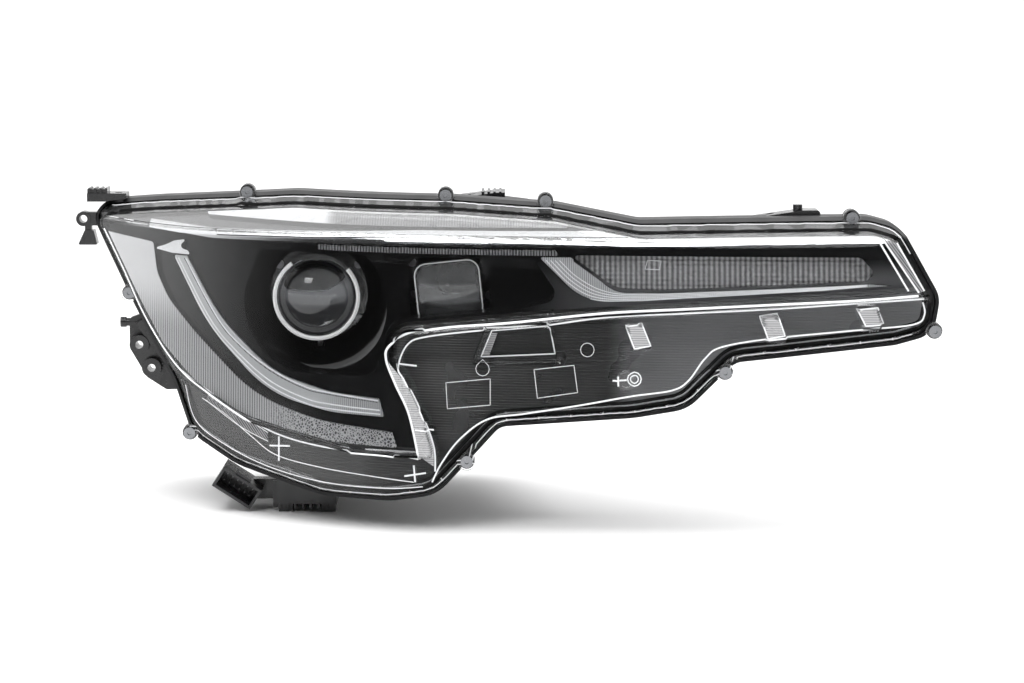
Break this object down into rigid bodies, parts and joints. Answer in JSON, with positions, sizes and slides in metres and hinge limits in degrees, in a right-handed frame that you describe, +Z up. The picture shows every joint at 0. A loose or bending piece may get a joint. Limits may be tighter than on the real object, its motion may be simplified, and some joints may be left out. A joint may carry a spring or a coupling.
{
  "type": "car headlight assembly",
  "caption": "Right-hand LED headlight for a compact car: projector low and high beams, light guides and turn signal behind a clear stepped lens, with levelling and mounting brackets.",
  "frame": {"origin": "centre of the bounding box in plan, at the height of the feet under the control unit", "axes": "+X to the inboard end of the lamp, -Y to the front of the car, +Z up"},
  "size_m": [0.737, 0.3173, 0.2725],
  "materials": {
    "outer_lens": "clear hard-coated polycarbonate",
    "lens_seal": "butyl sealing bead",
    "rear_housing": "black talc-filled polypropylene, fine grain",
    "main_bezel": "black moulded polycarbonate, satin to gloss",
    "lower_bezel": "dark grained plastic with fine flutes",
    "projector_shroud": "piano black",
    "ridge_trim": "vacuum-metallised trim",
    "top_garnish": "satin silver with fine flutes",
    "ribbed_trim": "fine vertical ribs",
    "drl_light_guide": "clear acrylic light guide",
    "drl_reflector": "metallised reflector",
    "drl_led_board": "white circuit board",
    "drl_end_cap": "metallised end cap",
    "side_marker_lens": "clear acrylic, ribbed inside",
    "side_marker_reflector": "metallised reflector",
    "inboard_light_guide": "clear acrylic with parallel flutes",
    "inboard_led_board": "white circuit board",
    "turn_signal_lens": "clear acrylic with pillow optics",
    "turn_signal_reflector": "metallised reflector bowl",
    "pivot_ball_studs": "zinc-plated steel",
    "levelling_motor": "black glass-filled polyamide",
    "led_driver_module": "black coated die casting",
    "main_connector": "black polyamide",
    "connector_pins": "tin-plated brass",
    "vent_caps": "black rubber",
    "lens_screws": "zinc-plated steel",
    "driver_screws": "zinc-plated steel",
    "upper_outboard_bracket": "black polyamide",
    "outboard_locator": "black polyamide",
    "side_bracket": "black glass-filled polyamide",
    "upper_middle_bracket": "black polyamide",
    "inboard_bracket": "black polyamide",
    "carrier_frame": "black glass-filled polyamide",
    "module_screws": "zinc-plated steel",
    "low_beam_lens": "clear optical polycarbonate",
    "low_beam_lens_holder": "black plastic barrel",
    "low_beam_ring": "bright metallised ring",
    "low_beam_reflector": "metallised half ellipsoid",
    "low_beam_led_board": "white circuit board",
    "low_beam_heat_sink": "die-cast aluminium fins",
    "cooling_fan_frame": "black plastic fan frame",
    "shutter_solenoid": "solenoid coil case",
    "high_beam_lens": "clear optical polycarbonate",
    "high_beam_holder": "black plastic barrel",
    "high_beam_reflector": "metallised collector",
    "high_beam_led_board": "white circuit board",
    "high_beam_heat_sink": "die-cast aluminium fins",
    "cutoff_shutter": "blackened sheet steel",
    "solenoid_plunger": "steel rod",
    "cooling_fan_rotor": "black plastic fan",
    "levelling_rod": "natural acetal",
    "manual_adjuster": "natural acetal",
    "access_cover": "black polypropylene",
    "cover_seal": "black rubber",
    "turn_bulb_socket": "grey-black polyamide",
    "turn_bulb": "amber glass wedge bulb"
  },
  "bodies": {
    "lamp_housing": {"outer_lens": "outer_lens", "lens_seal": "lens_seal", "rear_housing": "rear_housing", "main_bezel": "main_bezel", "lower_bezel": "lower_bezel", "projector_shroud": "projector_shroud", "ridge_trim": "ridge_trim", "top_garnish": "top_garnish", "ribbed_trim": "ribbed_trim", "drl_light_guide": "drl_light_guide", "drl_reflector": "drl_reflector", "drl_led_board": "drl_led_board", "drl_end_cap": "drl_end_cap", "side_marker_lens": "side_marker_lens", "side_marker_reflector": "side_marker_reflector", "inboard_light_guide": "inboard_light_guide", "inboard_led_board": "inboard_led_board", "turn_signal_lens": "turn_signal_lens", "turn_signal_reflector": "turn_signal_reflector", "pivot_ball_studs": "pivot_ball_studs", "levelling_motor": "levelling_motor", "led_driver_module": "led_driver_module", "main_connector": "main_connector", "connector_pins": "connector_pins", "vent_caps": "vent_caps", "lens_screws": "lens_screws", "driver_screws": "driver_screws", "upper_outboard_bracket": "upper_outboard_bracket", "outboard_locator": "outboard_locator", "side_bracket": "side_bracket", "upper_middle_bracket": "upper_middle_bracket", "inboard_bracket": "inboard_bracket"},
    "module_carrier": {"carrier_frame": "carrier_frame", "module_screws": "module_screws", "low_beam_lens": "low_beam_lens", "low_beam_lens_holder": "low_beam_lens_holder", "low_beam_ring": "low_beam_ring", "low_beam_reflector": "low_beam_reflector", "low_beam_led_board": "low_beam_led_board", "low_beam_heat_sink": "low_beam_heat_sink", "cooling_fan_frame": "cooling_fan_frame", "shutter_solenoid": "shutter_solenoid", "high_beam_lens": "high_beam_lens", "high_beam_holder": "high_beam_holder", "high_beam_reflector": "high_beam_reflector", "high_beam_led_board": "high_beam_led_board", "high_beam_heat_sink": "high_beam_heat_sink"},
    "cutoff_shutter": {"cutoff_shutter": "cutoff_shutter"},
    "solenoid_plunger": {"solenoid_plunger": "solenoid_plunger"},
    "cooling_fan": {"cooling_fan_rotor": "cooling_fan_rotor"},
    "levelling_rod": {"levelling_rod": "levelling_rod"},
    "manual_adjuster": {"manual_adjuster": "manual_adjuster"},
    "access_cover": {"access_cover": "access_cover", "cover_seal": "cover_seal"},
    "turn_socket": {"turn_bulb_socket": "turn_bulb_socket", "turn_bulb": "turn_bulb"}
  },
  "joints": [
    {"name": "vertical_aim", "type": "hinge", "parent": "lamp_housing", "child": "module_carrier", "pos_m": [-0.0985, 0.031, 0.226], "axis": [1, 0, 0], "range_deg": [-2.2, 2.2]},
    {"name": "levelling_rod_slide", "type": "slide", "parent": "lamp_housing", "child": "levelling_rod", "axis": [0, 1, 0], "range_m": [-0.004, 0.004]},
    {"name": "manual_adjuster_turn", "type": "hinge", "parent": "lamp_housing", "child": "manual_adjuster", "pos_m": [-0.04, 0.14, 0.112], "axis": [0, 1, 0], "range_deg": [-455, 455]},
    {"name": "cutoff_shutter_swing", "type": "hinge", "parent": "module_carrier", "child": "cutoff_shutter", "pos_m": [-0.144, 0.01275, 0.154], "axis": [-1, 0, 0], "range_deg": [0, 25], "stiffness_Nm_per_rad": 0.02, "springref_deg": -11.46},
    {"name": "solenoid_plunger_slide", "type": "slide", "parent": "module_carrier", "child": "solenoid_plunger", "axis": [0, -1, 0], "range_m": [0, 0.0085]},
    {"name": "cooling_fan_spin", "type": "hinge", "parent": "module_carrier", "child": "cooling_fan", "pos_m": [-0.144, 0.1, 0.18], "axis": [0, 1, 0], "continuous": true},
    {"name": "access_cover_twist", "type": "hinge", "parent": "lamp_housing", "child": "access_cover", "pos_m": [-0.144, 0.134, 0.158], "axis": [0, 1, 0], "range_deg": [0, 40]},
    {"name": "turn_socket_twist", "type": "hinge", "parent": "lamp_housing", "child": "turn_socket", "pos_m": [0.19, -0.04, 0.209], "axis": [0, 1, 0], "range_deg": [0, 45]}
  ],
  "couplings": [
    {"joint": "levelling_rod_slide", "follows": "vertical_aim", "m_per_rad": 0.098},
    {"joint": "manual_adjuster_turn", "follows": "vertical_aim", "ratio": 205.25},
    {"joint": "solenoid_plunger_slide", "follows": "cutoff_shutter_swing", "m_per_rad": 0.0185}
  ]
}
